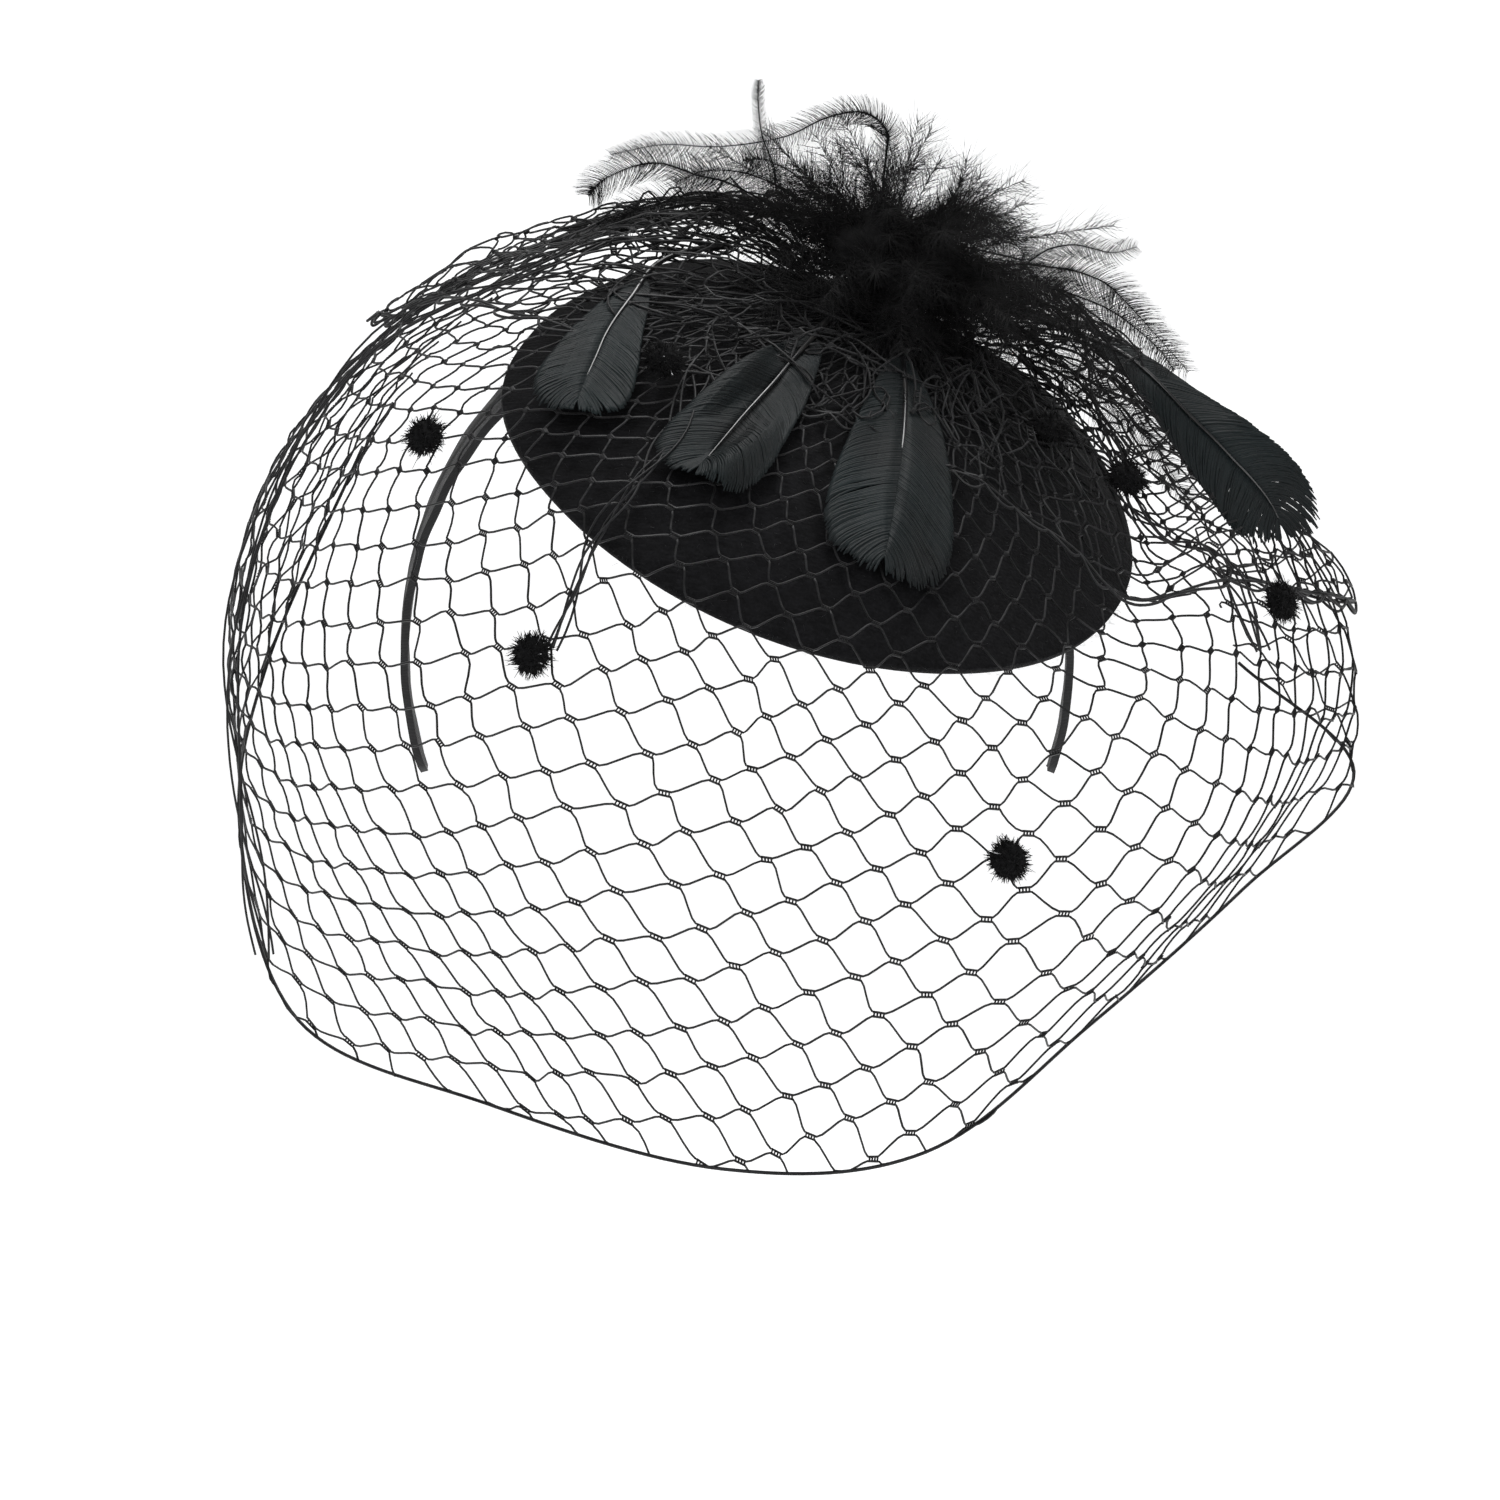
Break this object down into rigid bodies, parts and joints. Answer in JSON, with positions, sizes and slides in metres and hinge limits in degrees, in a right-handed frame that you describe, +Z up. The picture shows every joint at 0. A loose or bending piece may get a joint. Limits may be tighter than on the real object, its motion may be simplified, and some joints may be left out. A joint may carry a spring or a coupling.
{
  "type": "feather fascinator headband",
  "caption": "Tilted black felt saucer hat on a headband, with a face-length net veil, a curled feather plume, paddle feathers and chenille dots.",
  "frame": {"origin": "middle of the headband's crown, on its inner face, where the band rests on the head", "axes": "+Z up, the wearer faces -Y, the wearer's left is +X"},
  "size_m": [0.2892, 0.1881, 0.2687],
  "materials": {
    "band_cloth": "satin-woven cloth",
    "felt": "brushed wool felt",
    "netting": "stiff knotted netting",
    "chenille": "cut pile",
    "paddle_feather": "glossy trimmed feather",
    "plume_feather": "fluffy soft feather"
  },
  "bodies": {
    "root": {"headband": "band_cloth", "hat_base": "felt", "veil": "netting", "dot_temple": "chenille", "dot_brow": "chenille", "dot_cheek": "chenille", "dot_side": "chenille", "dot_rim": "chenille", "dot_crown": "chenille", "dot_hat_edge": "chenille", "paddle_right": "paddle_feather", "paddle_left": "paddle_feather", "paddle_front": "paddle_feather", "paddle_centre": "paddle_feather", "plume": "plume_feather"}
  },
  "joints": []
}
